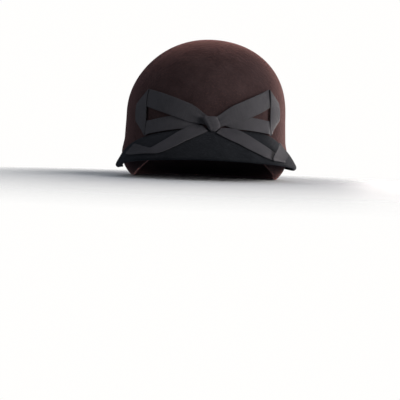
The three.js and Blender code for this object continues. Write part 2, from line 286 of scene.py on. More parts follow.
def connect(shader, **wires):
    """Joins wires to the shader's sockets, named with underscores for spaces."""
    for name, wire in wires.items():
        wire.tree.links.new(wire.socket, shader.inputs[name.replace("_", " ")])


# %% [markdown]
# ## Felt
# Felt is wool matted into a sheet: no weave, but a short nap of crossed fibres, cloudy where the dye took
# unevenly. Clouds of noise mix two browns, stretched noise draws single fibres, and a bump at the fibres'
# scale breaks up the light. The nap's pale glow at a slant comes from the shader's sheen. Near its rim
# the crown's felt is darkened with painted shade.

# %% Felt finish
CLOUD_SCALE = 70
CLOUD_TONES = (0.32, 0.68)
FIBRE_LAYERS = (
    {"stretch": (1, 0.25, 0.6), "scale": 2600},
    {"stretch": (0.3, 1, 0.5), "scale": 2300},
)
FIBRE_TONES = (0.56, 0.74)
FIBRE_STRENGTH = 0.4
FIBRE_DEPTH = 0.00035
LUMP_SCALE = 420
LUMP_DEPTH = 0.0005
# Painted shade near the crown's cut rim: its colour, and the levels in metres over which it gives way to
# the felt.
RIM_PAINTED_SHADE = (0.012, 0.0105, 0.0115)
RIM_PAINTED_SHADE_LEVELS = (0.006, 0.02)


def felt_finish(name, deep, middle, fibre, sheen, sheen_tint, painted_shade_levels=None):
    """Felt: clouds of two colours, pale fibres lying two ways, and a nap that is bumped at two scales.
    Below the given levels near the rim, in metres, painted shade darkens it."""
    constants = {
        "Roughness": 0.95,
        "Specular IOR Level": 0.04,
        "Sheen Weight": sheen,
        "Sheen Roughness": 0.3,
        "Sheen Tint": (*sheen_tint, 1),
    }
    material, shader, place, _ = new_finish(name, constants)
    clouds = place.noise(CLOUD_SCALE, 3, 0.6)
    one, two = [place.stretched(layer["stretch"]).noise(layer["scale"], 2, 0.6) for layer in FIBRE_LAYERS]
    fibres = one.math("MAXIMUM", one, two)
    base = clouds.ramp(list(zip(CLOUD_TONES, (deep, middle))))
    colour = base.blend(fibres.rise(*FIBRE_TONES, FIBRE_STRENGTH), (*fibre, 1))
    # Painted shade: below these levels the felt's colour is darkened towards the rim.
    if painted_shade_levels:
        colour = colour.blend(1 - place.part("Z").rise(*painted_shade_levels), (*RIM_PAINTED_SHADE, 1))
    normal = place.noise(LUMP_SCALE, 3, 0.55).bump(LUMP_DEPTH)
    connect(shader, Base_Color=colour, Normal=fibres.bump(FIBRE_DEPTH, normal))
    return material


brown_felt = felt_finish(
    "brown_felt",
    deep=(0.036, 0.0225, 0.0225),
    middle=(0.054, 0.034, 0.0335),
    fibre=(0.13, 0.062, 0.055),
    sheen=0.75,
    sheen_tint=(0.85, 0.4, 0.35),
    painted_shade_levels=RIM_PAINTED_SHADE_LEVELS,
)
black_felt = felt_finish(
    "black_felt",
    deep=(0.0108, 0.0118, 0.0135),
    middle=(0.018, 0.019, 0.0215),
    fibre=(0.046, 0.048, 0.054),
    sheen=0.3,
    sheen_tint=(0.24, 0.24, 0.28),
)
print("felt finishes:", brown_felt.name, black_felt.name)

# %% [markdown]
# ## Ribbon
# The ribbon is ribbed: thick weft threads cross it from side to side under fine warp threads. The ribs
# are modelled further down, so the finish only adds what is finer: the warp's lines along the ribbon,
# painted shade in the groove between ribs, and small differences from thread to thread. It reads the
# ribbon's own map, which runs across and along it.

# %% Ribbon finish
RIB_PITCH = 0.85
WARP_PITCH = 0.28
WARP_DEPTH = 0.00006
THREAD_SCALE = 1900
WEAR_SCALE = 120
GROOVE_SHADE_SHARE = 0.25
THREAD_SHARE = 0.45
WEAR_SHARE = 0.3
RIBBON_TONES = [(0.25, (0.038, 0.0352, 0.038)), (0.75, (0.076, 0.0705, 0.076))]


def ribbon_finish():
    """Ribbed ribbon: painted shade darkens the grooves, the colour wanders from rib to rib, and warp lines
    run along it."""
    constants = {
        "Roughness": 0.62,
        "Specular IOR Level": 0.22,
        "Sheen Weight": 0.12,
        "Sheen Roughness": 0.35,
        "Sheen Tint": (0.6, 0.6, 0.66, 1),
    }
    material, shader, place, chart = new_finish("ribbon", constants)
    # Painted shade: a wave at the rib pitch darkens the colour where the grooves between ribs stand.
    ribs = (chart.part("Y") * (2 * math.pi / (RIB_PITCH * MM))).sine() * 0.5 + 0.5
    warp = (chart.part("X") * (2 * math.pi / (WARP_PITCH * MM))).sine() * 0.5 + 0.5
    threads = chart.stretched((0.02, 1, 1)).noise(THREAD_SCALE, 1, 0.5)
    wear = place.noise(WEAR_SCALE, 3, 0.6)
    tone = ribs * GROOVE_SHADE_SHARE + threads * THREAD_SHARE + wear * WEAR_SHARE
    connect(shader, Base_Color=tone.ramp(RIBBON_TONES))
    connect(shader, Normal=(warp * 0.6 + threads * 0.4).bump(WARP_DEPTH))
    return material


ribbon_cloth = ribbon_finish()
print("ribbon finish:", ribbon_cloth.name)


def finish_piece(piece, material, slot, *nodes):
    """Gives a piece its finish, lets it ride on the cap and hides the solids that it stands for."""
    piece.data.materials.clear()
    piece.data.materials.append(material)
    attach(piece, BODY)
    if nodes:
        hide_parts(*nodes)
    return piece


# %% [markdown]
# ## The crown
# The crown was drawn over a block while wet, so it is one skin: an oval wall that is widest above the
# rim, under a dome that is close to a quarter of an ellipse all round and leans a little to one side. Low
# at the sides the ends of the peak pull the wall out. Felt never dries quite true, so a few slow waves
# run round it. One grid carries the whole skin: down the outside from the top, round the cut rim and up
# the inside.

# %% The crown's form
FELT = 2.5
GAP = 0.3
HALF_WIDTH = 82.5
HALF_LENGTH = 99
CROWN_HEIGHT = 135
WIDEST_LEVEL = 28
DOME_LEVEL = 60
RIM_TUCK = 10
RIM_TUCK_POWER = 3
DOME_TAPER = 1.2
DOME_POWER = 2.11
DOME_LEAN = 3
FULL_LEAN_LEVEL = 130
SPREAD = 2.4
SPREAD_LEVELS = (38, 22)
SPREAD_ANGLES = (40, 66)
SPREAD_END_ANGLES = (84, 130)
RIM_ARCH_HEIGHT = 34
RIM_ARCH_HALF_ANGLE = math.radians(72)
WAVES = (
    {"height": 0.30, "turns": 3, "climb": 0.020, "start": 0.4},
    {"height": 0.24, "turns": 5, "climb": -0.035, "start": 1.9},
    {"height": 0.16, "turns": 2, "climb": 0.090, "start": 3.1},
)
WAVE_LEVELS = (45, 70)


def felt_waves(angle, level):
    """Slow waves in the felt: a sum of sines that climb as they go round."""
    return sum(
        wave["height"] * np.sin(wave["turns"] * angle + wave["climb"] * level + wave["start"])
        for wave in WAVES
    )


def side_spread(angle, level):
    """How far the wall spreads low at the sides, where the peak's ends pull it out."""
    degrees = np.degrees(np.abs(angle))
    at_sides = smooth_rise(degrees, *SPREAD_ANGLES) - smooth_rise(degrees, *SPREAD_END_ANGLES)
    return SPREAD * at_sides * smooth_rise(-level, -SPREAD_LEVELS[0], -SPREAD_LEVELS[1])


def crown_place(angle, level, inset=0.0):
    """A place on the crown at an angle from the front and a level: an oval, drawn in towards the rim and
    the dome, spread low at the sides, and narrowed over the dome as an ellipse is, with a power a little
    over 2."""
    rise = np.clip((level - DOME_LEVEL) / (CROWN_HEIGHT - inset - DOME_LEVEL), 0, 1)
    narrowing = (1 - rise**DOME_POWER) ** (1 / DOME_POWER)
    towards_rim = np.clip(1 - level / WIDEST_LEVEL, 0, None)
    drawn_in = inset + RIM_TUCK * towards_rim**RIM_TUCK_POWER
    drawn_in = drawn_in + DOME_TAPER * smooth_rise(level, WIDEST_LEVEL, DOME_LEVEL)
    drawn_in = drawn_in - felt_waves(angle, level) * smooth_rise(level, *WAVE_LEVELS)
    drawn_in = drawn_in - side_spread(angle, level)
    lean = DOME_LEAN * smooth_rise(level, DOME_LEVEL, FULL_LEAN_LEVEL)
    x = lean + (HALF_WIDTH - drawn_in) * narrowing * np.sin(angle)
    y = CROWN_MIDDLE_Y - (HALF_LENGTH - drawn_in) * narrowing * np.cos(angle)
    return np.stack(np.broadcast_arrays(x, y, level), axis=-1)


def rim_level(angle):
    """The cut rim: level at the sides and back, and rising in an arch over the forehead."""
    share = np.minimum(1, np.abs(angle) / RIM_ARCH_HALF_ANGLE)
    return RIM_ARCH_HEIGHT * (1 - smooth_rise(share, 0, 1))


# %% The crown's skin
CROWN_COLUMNS = 256
DOME_ROWS = 56
WALL_ROWS = 30
RIM_ROWS = 13
RIM_SQUARENESS = 0.45


def crown_grid():
    """Rows from the top down the outside, round the rim and up the inside, with a column for each
    angle."""
    angle = np.linspace(-np.pi, np.pi, CROWN_COLUMNS, endpoint=False)[None, :]
    half = FELT / 2
    down = np.linspace(np.pi / 2, 0, DOME_ROWS)[:, None]
    fall = np.linspace(1, 0, WALL_ROWS)[1:, None]
    edge = rim_level(angle) + half
    wall = edge + (DOME_LEVEL - edge) * fall
    rows = []
    for inset in (0, FELT):
        dome = DOME_LEVEL + (CROWN_HEIGHT - inset - DOME_LEVEL) * np.sin(down) + 0 * angle
        rows.append(crown_place(angle, np.concatenate([dome, wall]), inset))
    cos, sin = squared_round(np.linspace(0, np.pi, RIM_ROWS)[1:-1, None], RIM_SQUARENESS)
    rim = crown_place(angle, edge - half * sin, half * (1 - cos))
    return np.concatenate([rows[0], rim, rows[1][::-1]])


crown = finish_piece(
    grid_piece("crown_felt", crown_grid(), round_columns=True), brown_felt, "brown_felt", "crown"
)

# %% [markdown]
# ## The peak
# The peak is a crescent of stiff felt, sewn on along an arch that is higher on the right. It is longest
# at the front and narrow at its rounded ends, where its edge is rolled and it hangs against the crown. A
# table gives a few sections round it, and a smooth curve runs through them. The grid's rows go round the
# section, over the top, round the outer edge and back underneath, so that the felt has its soft cut edge.

# %% The peak's form
PEAK_SECTIONS = (
    {"angle": 0, "reach": 36, "seam": 42.5, "edge": 17},
    {"angle": 20, "reach": 33.5, "seam": 40.2, "edge": 15.8},
    {"angle": 40, "reach": 22.5, "seam": 35.8, "edge": 13.6},
    {"angle": 54, "reach": 14.2, "seam": 30.4, "edge": 12.6},
    {"angle": 68, "reach": 10.2, "seam": 21.4, "edge": 11.8},
    {"angle": 80, "reach": 9.2, "seam": 18, "edge": 11.4},
)
PEAK_HALF_ANGLE = 80
PEAK_CORNER_ANGLE = 66
END_REACH = 2.6
END_HANG = 1.05
PEAK_CURL = 0.25
LEFT_END_CURL = 0.4
RIGHT_END_CURL = 0.75
END_CURL_ANGLES = (35, 60)
EDGE_ROLL = 1.1
EDGE_ROLL_ANGLES = (42, 60)
EDGE_ROLL_POWER = 3
LEFT_DROOP = 1.4
DROOP_ANGLES = (25, 55)
LEFT_END_DROOP = 1.8
PEAK_END_ANGLES = (40, 56)
RIGHT_FLARE = 2.6
RIGHT_SEAM_RISE = 4
SEAM_RISE_ANGLES = (8, 36)
SEAM_FALL_ANGLES = (40, 64)


def smooth_columns(rows, keys, names):
    """Columns of a table as smooth functions of its key: cubics whose slope at a row is the mean of the
    slopes on either side, and level at the first row. Gives the columns in the order of the names."""
    keys = np.asarray(keys, float)
    values = np.array([[row[name] for name in names] for row in rows], float)
    slopes = np.diff(values, axis=0) / np.diff(keys)[:, None]
    tangents = np.concatenate([0 * slopes[:1], (slopes[1:] + slopes[:-1]) / 2, slopes[-1:]])

    def columns_at(key):
        key = np.clip(np.asarray(key, float), keys[0], keys[-1])
        before = np.clip(np.searchsorted(keys, key, side="right") - 1, 0, len(keys) - 2)
        step = keys[before + 1] - keys[before]
        p = ((key - keys[before]) / step)[..., None]
        step = step[..., None]
        found = (
            values[before] * (2 * p**3 - 3 * p**2 + 1)
            + values[before + 1] * (3 * p**2 - 2 * p**3)
            + tangents[before] * step * (p**3 - 2 * p**2 + p)
            + tangents[before + 1] * step * (p**3 - p**2)
        )
        return np.moveaxis(found, -1, 0)

    return columns_at


peak_angles = [row["angle"] for row in PEAK_SECTIONS]
peak_columns = smooth_columns(PEAK_SECTIONS, peak_angles, ("reach", "seam", "edge"))


def peak_corner(degrees):
    """1 along the peak, and falling to 0 over each end as a quarter ellipse."""
    along = np.clip(degrees - PEAK_CORNER_ANGLE, 0, None) / (PEAK_HALF_ANGLE - PEAK_CORNER_ANGLE)
    return np.sqrt(np.clip(1 - along**2, 0, 1))


def peak_section(side):
    """The section at an angle in degrees, negative on the left: how far it reaches out, the level of its
    seam and how far it falls from there. It falls further on the left and at both ends, where it hangs,
    and on the right it is sewn on higher and reaches further at the end."""
    reach, seam, edge = peak_columns(np.abs(side))
    reach = reach + RIGHT_FLARE * smooth_rise(side, *PEAK_END_ANGLES)
    raised = smooth_rise(side, *SEAM_RISE_ANGLES) - smooth_rise(side, *SEAM_FALL_ANGLES)
    seam = seam + RIGHT_SEAM_RISE * raised
    edge = edge - LEFT_DROOP * smooth_rise(-side, *DROOP_ANGLES)
    edge = edge - LEFT_END_DROOP * smooth_rise(-side, *PEAK_END_ANGLES)
    corner = peak_corner(np.abs(side))
    drop = (seam - edge) * (END_HANG + (1 - END_HANG) * corner)
    return END_REACH + (reach - END_REACH) * corner, seam, drop


def edge_roll(degrees):
    """How much thicker the edge is towards the ends of the peak, where the felt is rolled."""
    return EDGE_ROLL * smooth_rise(degrees, *EDGE_ROLL_ANGLES) * peak_corner(degrees)


def peak_place(angle, share, through=0.0):
    """A place on the peak at an angle from the front, at a share of the way from the seam to the edge,
    and through the felt from its top to its underside. The section stands out from the crown's wall and
    falls in a slight curve, stronger at the sides. Its felt is cut upright along the seam and square to
    the slope at the edge."""
    side = np.degrees(angle)
    degrees = np.minimum(PEAK_HALF_ANGLE, np.abs(side))
    reach, seam, drop = peak_section(side)
    end_curl = np.where(side < 0, LEFT_END_CURL, RIGHT_END_CURL)
    curl = PEAK_CURL + (end_curl - PEAK_CURL) * smooth_rise(degrees, *END_CURL_ANGLES)
    fall = (1 - curl) * share + curl * share**2
    seam_slope = (1 - curl) * drop / reach
    edge_slope = (1 + curl) * drop / reach
    edge_run = np.hypot(1, edge_slope)
    deep = through * FELT * (1 + edge_roll(degrees) * share**EDGE_ROLL_POWER)
    out_x = np.sin(angle) / HALF_WIDTH
    out_y = -np.cos(angle) / HALF_LENGTH
    spread = side_spread(angle, seam)
    stand_off = GAP + spread + share * (reach - spread - deep * edge_slope / edge_run)
    out = stand_off / np.hypot(out_x, out_y)
    down = deep * ((1 - share) * np.hypot(1, seam_slope) + share / edge_run)
    x = HALF_WIDTH * np.sin(angle) + out_x * out
    y = CROWN_MIDDLE_Y - HALF_LENGTH * np.cos(angle) + out_y * out
    return np.stack(np.broadcast_arrays(x, y, seam - drop * fall - down), axis=-1)


# %% The peak's skin
PEAK_COLUMNS = 181
PEAK_END_COLUMNS = 24
PEAK_ROWS = 34
PEAK_EDGE_ROWS = 11
PEAK_SQUARENESS = 0.9
WIDEST_MARGIN = 0.45


def peak_grid():
    """Rows round the section and columns round the front, with an extra column at each end that closes
    it."""
    bend = np.sin(np.linspace(0, np.pi / 2, PEAK_END_COLUMNS)[1:])
    ends = PEAK_CORNER_ANGLE + (PEAK_HALF_ANGLE - PEAK_CORNER_ANGLE) * bend
    middle = np.linspace(-PEAK_CORNER_ANGLE, PEAK_CORNER_ANGLE, PEAK_COLUMNS)
    degrees = np.concatenate([-ends[::-1], middle, ends])[None, :]
    reach, _, drop = peak_section(degrees)
    slope = np.hypot(reach, drop)
    margin = np.minimum(WIDEST_MARGIN, FELT / 2 * (1 + edge_roll(np.abs(degrees))) / slope)
    way = np.linspace(0, 1, PEAK_ROWS)[:, None]
    cos, sin = squared_round(np.linspace(0, np.pi, PEAK_EDGE_ROWS)[1:-1, None], PEAK_SQUARENESS)
    top = margin + (1 - 2 * margin) * way
    outer = 1 - margin + margin * sin
    inner = margin - margin * sin
    share = np.concatenate([top, outer, top[::-1], inner])
    through = np.concatenate([0 * way, (1 - cos) / 2, 0 * way + 1, (1 + cos) / 2])
    grid = peak_place(np.radians(degrees), share, through)
    closed = grid[:, [0, -1]].mean(axis=0, keepdims=True).repeat(len(grid), axis=0)
    return np.concatenate([closed[:, :1], grid, closed[:, 1:]], axis=1)


peak = finish_piece(
    grid_piece("peak_felt", peak_grid(), round_rows=True), black_felt, "black_felt", "peak"
)

# %% [markdown]
# ## Places on the felt
# The bow lies on the crown and the peak, so its ribbon is laid out in a chart of the felt: so many
# millimetres round from the front, and a level on the crown or a share of the way down the peak. Two
# functions turn such places into points that stand off the felt by a given height.

# %% Standing off the felt
ARC_STEPS = 2000
ANGLE_STEP = 0.004
LEVEL_STEP = 0.3
SHARE_STEP = 0.01
arc_angles = np.linspace(-np.pi / 2, np.pi / 2, ARC_STEPS)
arc_speed = np.hypot(HALF_WIDTH * np.cos(arc_angles), HALF_LENGTH * np.sin(arc_angles))
arc_lengths = np.concatenate([[0], np.cumsum((arc_speed[1:] + arc_speed[:-1]) / 2 * np.diff(arc_angles))])
arc_lengths = arc_lengths - arc_lengths[-1] / 2


def angle_at(around):
    """The angle that lies so many millimetres round the crown's oval from the front."""
    return np.interp(around, arc_lengths, arc_angles)


def across_product(first, second):
    """Unit vectors square to two arrays of vectors."""
    normal = np.cross(first, second)
    return normal / np.linalg.norm(normal, axis=-1, keepdims=True)


def off_crown(around, level, height):
    """A point that stands off the crown's outside by a height, along its normal."""
    angle = angle_at(around)
    beside = crown_place(angle + ANGLE_STEP, level) - crown_place(angle - ANGLE_STEP, level)
    above = crown_place(angle, level + LEVEL_STEP) - crown_place(angle, level - LEVEL_STEP)
    return crown_place(angle, level) + across_product(beside, above) * np.asarray(height)[..., None]


def peak_axes(angle, share):
    """Two directions along the peak's top at a place: round the front, and down towards the edge."""
    beside = peak_place(angle + ANGLE_STEP, share) - peak_place(angle - ANGLE_STEP, share)
    below = peak_place(angle, share + SHARE_STEP) - peak_place(angle, share - SHARE_STEP)
    return beside, below


def off_peak(around, share, height):
    """A point that stands off the peak's top by a height, along its normal."""
    angle = angle_at(around)
    beside, below = peak_axes(angle, share)
    return peak_place(angle, share) - across_product(beside, below) * np.asarray(height)[..., None]


# %% [markdown]
# ## Stitches along the seam
# A row of small stitches holds the peak to the crown. Each is a short stretch of thread that comes up out
# of the felt and goes down again. All of them are worked out together, as one array of rings along and
# round the thread.

# %% Seam stitches
STITCH_LENGTH = 2.8
STITCH_PITCH = 4.0
STITCH_FROM_SEAM = 2.4
STITCH_HALF_ANGLE = math.radians(72)
STITCH_RISE = 0.16
THREAD_RADIUS = 0.22
STITCH_RINGS = 9
THREAD_SIDES = 8
STITCH_BOW_POWER = 4
STITCH_TAPER_POWER = 8
TWIST_SCALE = 4200


def thread_finish():
    """Dark sewing thread: twisted, so its tone runs in slanting bands."""
    constants = {"Roughness": 0.7, "Specular IOR Level": 0.3, "Sheen Weight": 0.2}
    material, shader, place, _ = new_finish("thread", constants)
    twist = place.stretched((1, 1, 2)).noise(TWIST_SCALE, 1, 0.5)
    connect(shader, Base_Color=twist.ramp([(0.3, (0.007, 0.008, 0.009)), (0.7, (0.022, 0.024, 0.026))]))
    connect(shader, Normal=twist.bump(0.00005))
    return material


def seam_stitches():
    """Tubes along the seam: the middle of each bows up, by a power of the way along, and its ends sink
    into the felt."""
    angle = np.linspace(-STITCH_HALF_ANGLE, STITCH_HALF_ANGLE, ARC_STEPS)
    reach = peak_columns(np.degrees(np.abs(angle)))[0]
    share = STITCH_FROM_SEAM / reach
    line = peak_place(angle, share)
    run = run_along(line)
    count = int(run[-1] / STITCH_PITCH)
    middle = (np.arange(count) + 0.5) * run[-1] / count
    along = np.linspace(-1, 1, STITCH_RINGS)
    spot = middle[:, None] + along * STITCH_LENGTH / 2
    spot_angle = np.interp(spot, run, angle)
    spot_share = np.interp(spot, run, share)
    beside, below = peak_axes(spot_angle, spot_share)
    up = -across_product(beside, below)
    side = across_product(beside, up)
    height = STITCH_RISE - (STITCH_RISE + THREAD_RADIUS) * along**STITCH_BOW_POWER
    spine = peak_place(spot_angle, spot_share) + up * height[:, None]
    turn = np.linspace(0, 2 * np.pi, THREAD_SIDES, endpoint=False)
    thick = THREAD_RADIUS * np.sqrt(np.clip(1 - along**STITCH_TAPER_POWER, 0, 1))[:, None, None]
    ring = up[:, :, None] * np.cos(turn)[:, None] + side[:, :, None] * np.sin(turn)[:, None]
    places = spine[:, :, None] + ring * thick
    faces = grid_faces(STITCH_RINGS, THREAD_SIDES, False, True)
    shift = np.arange(count)[:, None, None] * STITCH_RINGS * THREAD_SIDES
    return mesh_piece("seam_stitches", places.reshape(-1, 3), (faces + shift).reshape(-1, 4))


finish_piece(seam_stitches(), thread_finish(), "black_felt")

# %% [markdown]
# ## Ribbon as a solid strip
# A ribbon is a strip with thickness, so its grid closes round the section: across the top, round one
# selvedge, back underneath and round the other. Along it, the thickness swells and sinks at every rib. A
# piece only has to say where a place on the strip's middle goes, and how far off it the surface lies.

# %% The ribbon's section and ribs
RIBBON_WIDTH = 14
RIBBON_THICKNESS = 0.5
RIB_HEIGHT = 0.07
SELVEDGE_STEPS = 5
RIBBON_ROWS = 13
RIB_STEPS = 5


def ribbon_section():
    """Places round the section: how far across, as a share of the width, and how far off the middle, from
    -1 to 1."""
    across = np.linspace(-0.5, 0.5, RIBBON_ROWS)
    turn = np.linspace(0, np.pi, SELVEDGE_STEPS + 2)[1:-1]
    round_edge = RIBBON_THICKNESS / 2 / RIBBON_WIDTH * np.sin(turn)
    share = np.concatenate([across, 0.5 + round_edge, across[::-1], -0.5 - round_edge])
    off = np.concatenate([np.ones(RIBBON_ROWS), np.cos(turn), -np.ones(RIBBON_ROWS), -np.cos(turn)])
    return share, off


def ribbon_strip(name, length, place):
    """A strip of so many millimetres. place gives the point for a way along, a share across and a height
    off the middle. Both ends are closed by drawing the last section together."""
    steps = int(length / RIB_PITCH * RIB_STEPS)
    along = np.linspace(0, length, steps + 1)
    along = np.concatenate([along[:1], along, along[-1:]])[:, None]
    share, off = ribbon_section()
    ribs = RIBBON_THICKNESS / 2 + RIB_HEIGHT * np.cos(2 * np.pi * along / RIB_PITCH)
    ribs[[0, -1]] = 0
    along_all, share_all = np.broadcast_arrays(along, share)
    grid = place(along_all, share_all, off * ribs)
    uv = np.stack([share_all * RIBBON_WIDTH, along_all], axis=-1)
    return grid_piece(name, grid, uv, round_columns=True)


# %% [markdown]
# ## The bow's loops
# Each loop is one strip: out along the top strap, folded flat over a slanting line into the end panel,
# folded again and back along the strap under it. Folding paper over a line mirrors what lies beyond it,
# so a fold here is a mirror in the chart, with a half circle in place of the sharp crease. The panel's
# outer edge stands off the felt. Near the knot the strip is drawn together, the top strap rises in a
# ridge over the other one, and the lower edge of that one tips out from the felt.

# %% Loops
BOW_LOOPS = (
    {
        "name": "left", "knot": -0.5, "end": -67,
        "top": 47.2, "under": 49.4, "top_end": 70, "under_end": 41.2,
        "arch": 1.6, "top_width": 7, "under_width": 3.6, "tilt": 2.2, "fold": 0.55,
    },
    {
        "name": "right", "knot": 6, "end": 66.5,
        "top": 46.7, "under": 48.6, "top_end": 74.7, "under_end": 45.4,
        "arch": 0.6, "top_width": 8.6, "under_width": 4.8, "tilt": 4, "fold": 0.8,
    },
)
LOOP_LIFT = 0.75
LOOP_BULGE = 2.4
UNDER_BULGE = 1.4
GATHER_LENGTH = 18
OVER_LIFT = 1.1
OVER_LENGTHS = (32, 60)
UNDER_COVER = 11.6
TILT_FROM_KNOT = 30
TILT_FROM_FOLD = 14
PANEL_LIFT = 1.5
RIDGE_HEIGHT = 0.5
PLEAT_HEIGHT = 0.4
PLEATS = 2


def folded(distance, radius):
    """A strip that is folded over a line: the way past the line becomes the way back. Gives the place
    square to the line and the height: a straight run, a half circle of a radius and a straight run back
    on top."""
    half = np.pi * radius / 2
    turn = np.clip((distance + half) / radius, 0, np.pi)
    before = np.minimum(distance, -half)
    after = np.maximum(distance - half, 0)
    return before - after + radius * np.sin(turn), radius * (1 - np.cos(turn))


def over_fold(spot, corner, before, after, radius):
    """Places of a chart folded over the line through a corner that turns one direction into another."""
    square = (before - after) / np.linalg.norm(before - after)
    line = np.array([-square[1], square[0]])
    off = spot - corner
    past, height = folded(off @ square, radius)
    return corner + (off @ line)[..., None] * line + past[..., None] * square, height


def mirrored(direction, square):
    """A direction mirrored in the line that a unit vector stands square to."""
    return direction - 2 * (direction @ square) * square


def loop_strip(loop):
    """The strip of one loop, from the knot to the knot."""
    corners = np.array([
        (loop["knot"], loop["top"]),
        (loop["end"], loop["top_end"]),
        (loop["end"], loop["under_end"]),
        (loop["knot"], loop["under"]),
    ])
    runs = np.diff(corners, axis=0)
    top, panel, under = np.linalg.norm(runs, axis=1)
    first, second, third = runs / np.array([top, panel, under])[:, None]
    length = top + panel + under
    across = np.array([-first[1], first[0]])
    across_panel = mirrored(across, (first - second) / np.linalg.norm(first - second))
    across_under = mirrored(across_panel, (second - third) / np.linalg.norm(second - third))

    def place(along, share, off):
        from_knot = length - along
        from_fold = along - top - panel
        drawn_top = 1 - smooth_rise(along, 0, GATHER_LENGTH)
        drawn_under = 1 - smooth_rise(from_knot, 0, GATHER_LENGTH)
        tipped = smooth_rise(from_fold, 0, TILT_FROM_FOLD)
        width = RIBBON_WIDTH - (RIBBON_WIDTH - loop["top_width"]) * drawn_top
        width = width - (RIBBON_WIDTH - UNDER_COVER) * tipped
        width = width - (UNDER_COVER - loop["under_width"]) * drawn_under
        wide = (share * width)[..., None]
        start = corners[0] + first * along[..., None] + across * wide
        start[..., 1] += 4 * loop["arch"] * np.clip(along / top, 0, 1) * np.clip(1 - along / top, 0, 1)
        end = corners[1] + second * (along - top)[..., None] + across_panel * wide
        one, rise_one = over_fold(start, corners[1], first, second, loop["fold"])
        two, rise_two = over_fold(end, corners[2], second, third, loop["fold"])
        is_first = along < top + panel / 2
        spot = np.where(is_first[..., None], one, two)
        rise = np.where(is_first, rise_one, 2 * loop["fold"] - rise_two)
        turned_over = np.where(rise > loop["fold"], -1, 1)
        hump_top = np.sin(np.pi * np.clip(along / top, 0, 1)) ** 2
        hump_under = np.sin(np.pi * np.clip(from_fold / under, 0, 1)) ** 2
        hump_panel = np.sin(np.pi * np.clip((along - top) / panel, 0, 1)) ** 2
        to_outer_edge = 0.5 + share * np.sign(across_panel[0] * loop["end"])
        to_lower_edge = 0.5 - share * np.sign(across_under[1])
        height = LOOP_LIFT + rise + LOOP_BULGE * hump_top + UNDER_BULGE * hump_under
        height = height + PANEL_LIFT * to_outer_edge * hump_panel
        height = height + loop["tilt"] * to_lower_edge * tipped * smooth_rise(from_knot, 0, TILT_FROM_KNOT)
        height = height + OVER_LIFT * (1 - smooth_rise(along, *OVER_LENGTHS))
        height = height + RIDGE_HEIGHT * drawn_top * np.cos(np.pi * share) ** 2
        height = height + PLEAT_HEIGHT * (drawn_top + drawn_under) * np.cos(2 * np.pi * PLEATS * share)
        return off_crown(spot[..., 0], spot[..., 1], height + off * turned_over)

    piece = ribbon_strip(f"bow_loop_{loop['name']}_ribbon", length, place)
    finish_piece(piece, ribbon_cloth, "ribbon", f"bow_loop_{loop['name']}")
    print(piece.name, "is cut", round(length, 1), "mm long")


for bow_loop in BOW_LOOPS:
    loop_strip(bow_loop)

# %% [markdown]
# ## The tails
# A tail is a strip that lies on the peak, lifted along its upper edge. Each row of its table is a section
# across the ribbon, from a place on its lower edge to one on its upper edge. A smooth curve runs through
# the rows, and its length is measured so that the ribs keep their pitch. The right tail's last rows turn
# back over the fold.

# %% Tails
TAIL_LEFT = (
    {"round": -1.2, "share": 0.2, "lift": 0.5, "up_round": -5.4, "up_share": 0.02, "up_lift": 1.8},
    {"round": -6.8, "share": 0.35, "lift": 0.5, "up_round": -13.2, "up_share": 0.07, "up_lift": 2.4},
    {"round": -11.2, "share": 0.46, "lift": 0.5, "up_round": -18, "up_share": 0.19, "up_lift": 2.8},
    {"round": -15.8, "share": 0.58, "lift": 0.5, "up_round": -22.6, "up_share": 0.31, "up_lift": 2.2},
    {"round": -19.2, "share": 0.69, "lift": 0.5, "up_round": -26.4, "up_share": 0.44, "up_lift": 1.5},
    {"round": -24.8, "share": 0.83, "lift": 0.5, "up_round": -31.2, "up_share": 0.59, "up_lift": 1},
    {"round": -29.5, "share": 0.89, "lift": 0.5, "up_round": -35.6, "up_share": 0.72, "up_lift": 0.9},
    {"round": -36.5, "share": 0.88, "lift": 0.7, "up_round": -41, "up_share": 0.68, "up_lift": 1},
    {"round": -45.5, "share": 0.87, "lift": 0.8, "up_round": -48.5, "up_share": 0.6, "up_lift": 1.5},
    {"round": -56, "share": 0.83, "lift": 0.6, "up_round": -54.6, "up_share": 0.53, "up_lift": 1.7},
    {"round": -67, "share": 0.74, "lift": 0.5, "up_round": -60, "up_share": 0.45, "up_lift": 1.4},
)
TAIL_RIGHT = (
    {"round": 5, "share": 0.255, "lift": 0.5, "up_round": 9.4, "up_share": 0.05, "up_lift": 1.0},
    {"round": 9.8, "share": 0.39, "lift": 0.5, "up_round": 16, "up_share": 0.085, "up_lift": 2.0},
    {"round": 13.5, "share": 0.48, "lift": 0.5, "up_round": 20.8, "up_share": 0.185, "up_lift": 3.2},
    {"round": 17, "share": 0.555, "lift": 0.5, "up_round": 25.3, "up_share": 0.345, "up_lift": 3.4},
    {"round": 22.2, "share": 0.695, "lift": 0.5, "up_round": 30.4, "up_share": 0.495, "up_lift": 2.8},
    {"round": 27.5, "share": 0.815, "lift": 0.6, "up_round": 35.6, "up_share": 0.6, "up_lift": 1.8},
    {"round": 32, "share": 0.9, "lift": 0.7, "up_round": 42, "up_share": 0.74, "up_lift": 1.2},
    {"round": 36.2, "share": 0.94, "lift": 0.7, "up_round": 49.6, "up_share": 0.93, "up_lift": 0.7},
    {"round": 36.9, "share": 0.965, "lift": 1.15, "up_round": 50.1, "up_share": 0.955, "up_lift": 1.15},
    {"round": 36.8, "share": 0.92, "lift": 1.7, "up_round": 49.6, "up_share": 0.925, "up_lift": 1.7},
    {"round": 40.8, "share": 0.79, "lift": 4.8, "up_round": 52.4, "up_share": 0.885, "up_lift": 2.8},
    {"round": 45.2, "share": 0.63, "lift": 8.4, "up_round": 55.4, "up_share": 0.82, "up_lift": 4.2},
)
TAIL_LIFT = 0.4
RIPPLE_HEIGHT = 0.5
RIPPLES = 1.5
RIPPLE_ROWS = (6, 9)
KEY_STEP = 0.01
LENGTH_STEPS = 3000


